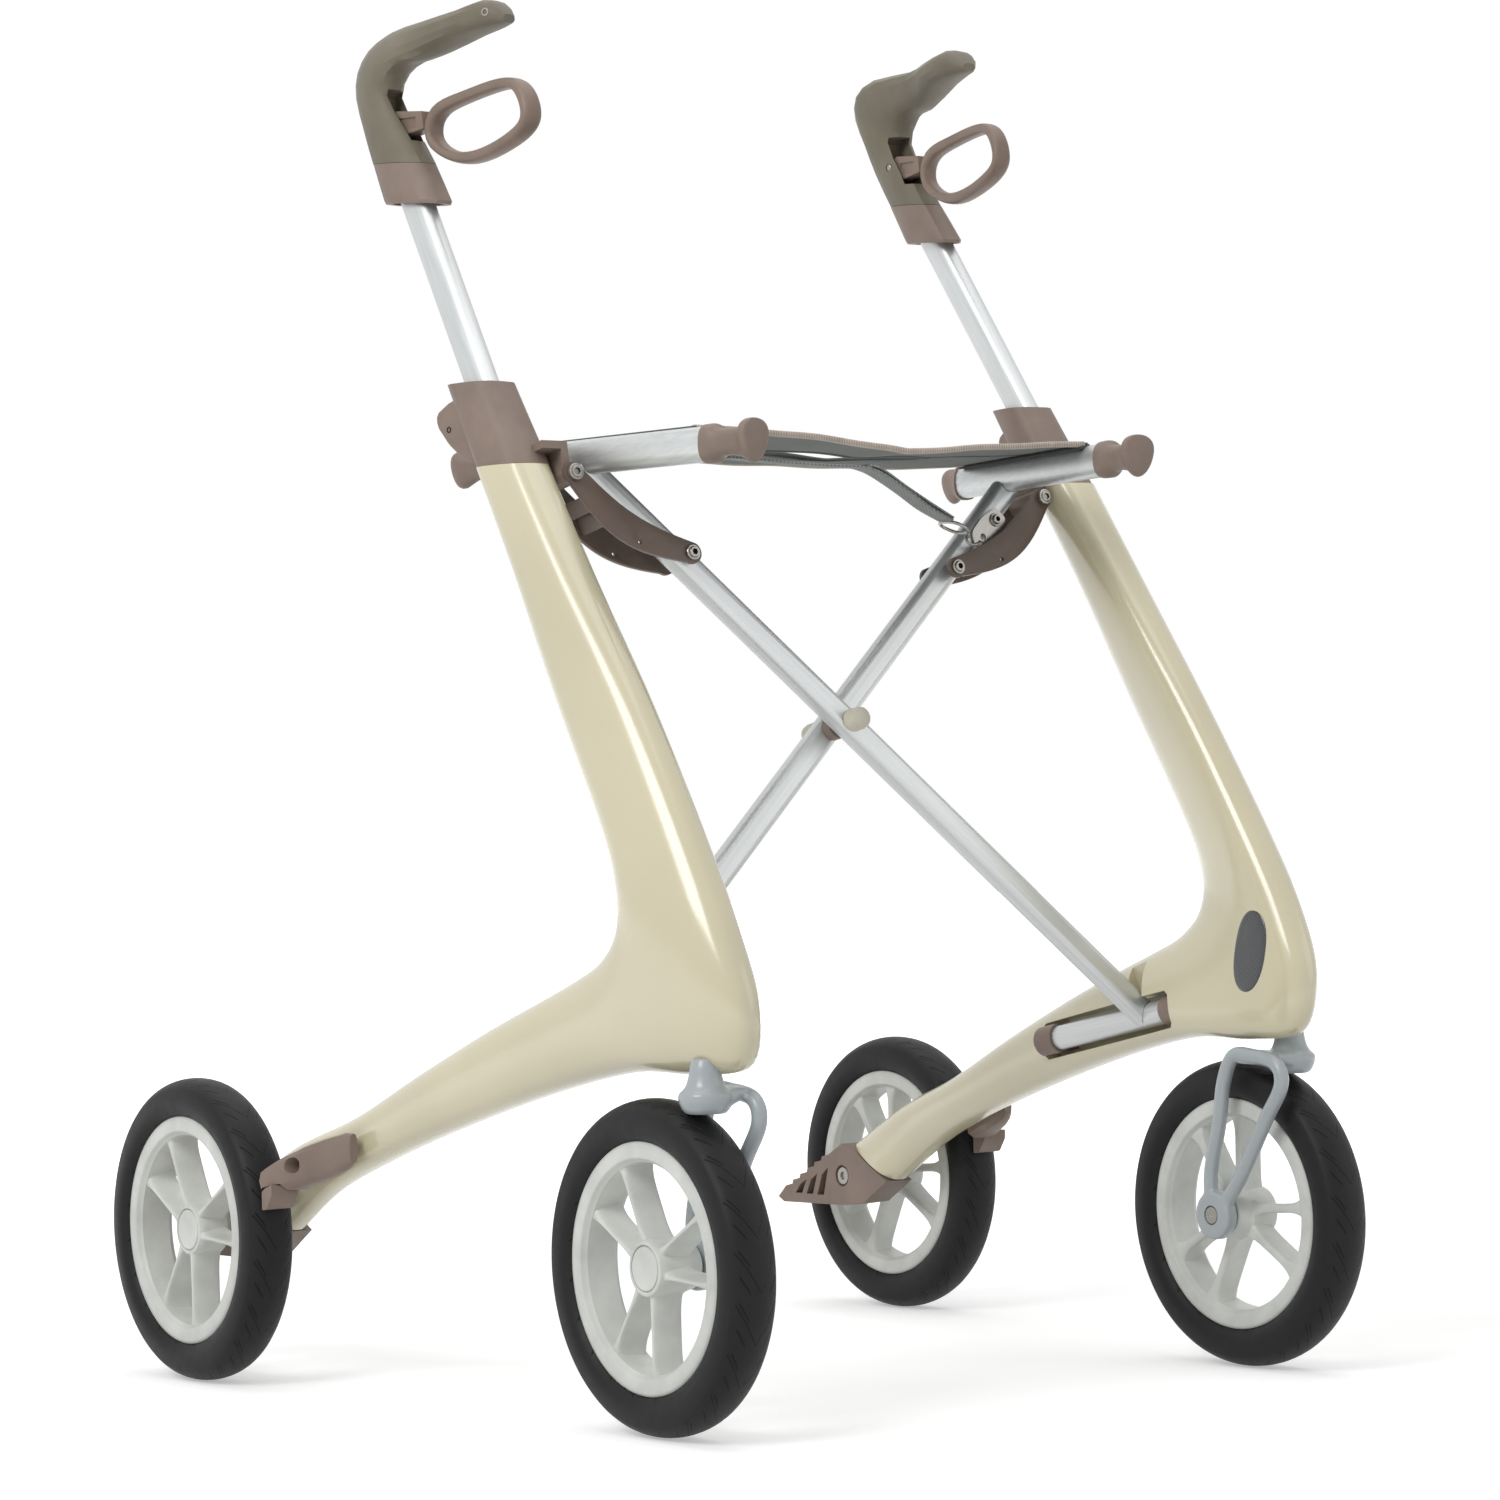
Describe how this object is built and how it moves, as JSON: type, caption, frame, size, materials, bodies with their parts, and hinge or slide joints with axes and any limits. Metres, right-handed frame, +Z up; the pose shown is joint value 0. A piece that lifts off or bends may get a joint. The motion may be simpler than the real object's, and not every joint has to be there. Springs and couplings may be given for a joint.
{
  "type": "rollator",
  "caption": "Folding wheeled walking aid with swivelling front casters, height-adjustable handles with brake levers, a cross-braced frame that folds sideways and a fabric sling seat.",
  "frame": {"origin": "on the floor under the middle of the rollator", "axes": "+Z up, -Y to the front (caster side), the user stands at +Y; +X is the user's left"},
  "size_m": [0.6236, 0.6469, 0.8914],
  "materials": {
    "frame": "glossy cream paint over a fibre composite",
    "grip": "matt soft grip",
    "taupe": "fine matt taupe moulding",
    "dark_taupe": "satin dark taupe moulding",
    "aluminium": "satin anodised tube",
    "fork": "satin silver-grey",
    "rim": "satin light grey moulding",
    "tyre": "matt black rubber",
    "fabric": "plain woven grey cloth",
    "steel": "zinc-plated steel"
  },
  "bodies": {
    "right_frame": {"right_side_frame": "frame", "right_top_collar": "taupe", "right_bearing_front": "taupe", "right_bearing_rear": "taupe", "right_link_bolt": "steel", "right_tipping_pedal": "taupe", "right_brake_housing": "taupe", "right_rear_axle": "steel"},
    "left_frame": {"left_side_frame": "frame", "left_top_collar": "taupe", "left_bearing_front": "taupe", "left_bearing_rear": "taupe", "left_link_bolt": "steel", "left_tipping_pedal": "taupe", "left_brake_housing": "taupe", "left_rear_axle": "steel"},
    "right_handle": {"right_handle_tube": "aluminium", "right_handle_sleeve": "taupe", "right_handle_grip": "grip", "right_lever_pin": "steel"},
    "left_handle": {"left_handle_tube": "aluminium", "left_handle_sleeve": "taupe", "left_handle_grip": "grip", "left_lever_pin": "steel"},
    "right_lever": {"right_brake_lever": "taupe"},
    "left_lever": {"left_brake_lever": "taupe"},
    "right_shoe": {"right_brake_shoe": "tyre"},
    "left_shoe": {"left_brake_shoe": "tyre"},
    "right_caster": {"right_caster_fork": "fork", "right_front_axle": "steel"},
    "left_caster": {"left_caster_fork": "fork", "left_front_axle": "steel"},
    "right_front_wheel": {"right_front_rim": "rim", "right_front_tyre": "tyre"},
    "left_front_wheel": {"left_front_rim": "rim", "left_front_tyre": "tyre"},
    "right_rear_wheel": {"right_rear_rim": "rim", "right_rear_tyre": "tyre"},
    "left_rear_wheel": {"left_rear_rim": "rim", "left_rear_tyre": "tyre"},
    "right_link": {"right_fold_link": "dark_taupe"},
    "left_link": {"left_fold_link": "dark_taupe"},
    "right_strut": {"right_cross_strut": "aluminium", "right_lower_tube": "aluminium", "left_seat_rail": "aluminium", "left_rail_cap_front": "taupe", "left_rail_cap_rear": "taupe", "cross_pivot_pin": "steel", "pivot_cap_front": "rim", "pivot_cap_rear": "rim", "pivot_spacer": "taupe", "latch_plate": "steel", "strap_ring": "steel", "seat_sling": "fabric", "pull_strap": "fabric"},
    "left_strut": {"left_cross_strut": "aluminium", "left_lower_tube": "aluminium", "right_seat_rail": "aluminium", "right_rail_cap_front": "taupe", "right_rail_cap_rear": "taupe"}
  },
  "joints": [
    {"name": "right_fold", "type": "hinge", "parent": "right_frame", "child": "right_strut", "pos_m": [-0.2175, -0.1343, 0.2245], "axis": [0, -0.9831, 0.1831], "range_deg": [0, 32.93], "deforming": ["seat_sling", "pull_strap"]},
    {"name": "cross", "type": "hinge", "parent": "right_strut", "child": "left_strut", "pos_m": [0, -0.0975, 0.4221], "axis": [0, -0.9831, 0.1831], "range_deg": [-76.05, 0]},
    {"name": "left_fold", "type": "hinge", "parent": "left_strut", "child": "left_frame", "pos_m": [0.2175, -0.1343, 0.2245], "axis": [0, -0.9831, 0.1831], "range_deg": [0, 32.93]},
    {"name": "right_link_turn", "type": "hinge", "parent": "right_frame", "child": "right_link", "pos_m": [-0.198, -0.07966, 0.57797], "axis": [0, -0.9831, 0.1831], "range_deg": [0, 95.05]},
    {"name": "left_link_turn", "type": "hinge", "parent": "left_frame", "child": "left_link", "pos_m": [0.198, -0.05803, 0.57394], "axis": [0, -0.9831, 0.1831], "range_deg": [-95.05, 0]},
    {"name": "right_height", "type": "slide", "parent": "right_frame", "child": "right_handle", "axis": [0.0457, 0.5521, 0.8325], "range_m": [-0.127, 0.127]},
    {"name": "left_height", "type": "slide", "parent": "left_frame", "child": "left_handle", "axis": [-0.0457, 0.5521, 0.8325], "range_m": [-0.127, 0.127]},
    {"name": "right_brake", "type": "hinge", "parent": "right_handle", "child": "right_lever", "pos_m": [-0.2085, 0.086, 0.8225], "axis": [-0.9919, -0.127, 0], "range_deg": [0, 12], "stiffness_Nm_per_rad": 1.5, "springref_deg": -8.59},
    {"name": "left_brake", "type": "hinge", "parent": "left_handle", "child": "left_lever", "pos_m": [0.2085, 0.086, 0.8225], "axis": [-0.9919, 0.127, 0], "range_deg": [0, 12], "stiffness_Nm_per_rad": 1.5, "springref_deg": -8.59},
    {"name": "right_shoe_press", "type": "slide", "parent": "right_frame", "child": "right_shoe", "axis": [0, 0.9715, -0.237], "range_m": [0, 0.00101]},
    {"name": "left_shoe_press", "type": "slide", "parent": "left_frame", "child": "left_shoe", "axis": [0, 0.9715, -0.237], "range_m": [0, 0.00101]},
    {"name": "right_swivel", "type": "hinge", "parent": "right_frame", "child": "right_caster", "pos_m": [-0.2313, -0.269, 0.2], "axis": [0, 0, 1], "continuous": true},
    {"name": "left_swivel", "type": "hinge", "parent": "left_frame", "child": "left_caster", "pos_m": [0.2313, -0.269, 0.2], "axis": [0, 0, 1], "continuous": true},
    {"name": "right_front_roll", "type": "hinge", "parent": "right_caster", "child": "right_front_wheel", "pos_m": [-0.2335, -0.2226, 0.1], "axis": [1, 0, 0], "continuous": true},
    {"name": "left_front_roll", "type": "hinge", "parent": "left_caster", "child": "left_front_wheel", "pos_m": [0.2335, -0.2226, 0.1], "axis": [1, 0, 0], "continuous": true},
    {"name": "right_rear_roll", "type": "hinge", "parent": "right_frame", "child": "right_rear_wheel", "pos_m": [-0.2943, 0.2243, 0.1], "axis": [1, 0, 0], "continuous": true},
    {"name": "left_rear_roll", "type": "hinge", "parent": "left_frame", "child": "left_rear_wheel", "pos_m": [0.2943, 0.2243, 0.1], "axis": [1, 0, 0], "continuous": true}
  ],
  "couplings": [
    {"joint": "cross", "follows": "right_fold", "ratio": -2.3079},
    {"joint": "left_fold", "follows": "right_fold", "ratio": 1},
    {"joint": "right_link_turn", "follows": "right_fold", "ratio": 2.8851},
    {"joint": "left_link_turn", "follows": "right_fold", "ratio": -2.8851},
    {"joint": "right_shoe_press", "follows": "right_brake", "m_per_rad": 0.00477},
    {"joint": "left_shoe_press", "follows": "left_brake", "m_per_rad": 0.00477}
  ]
}
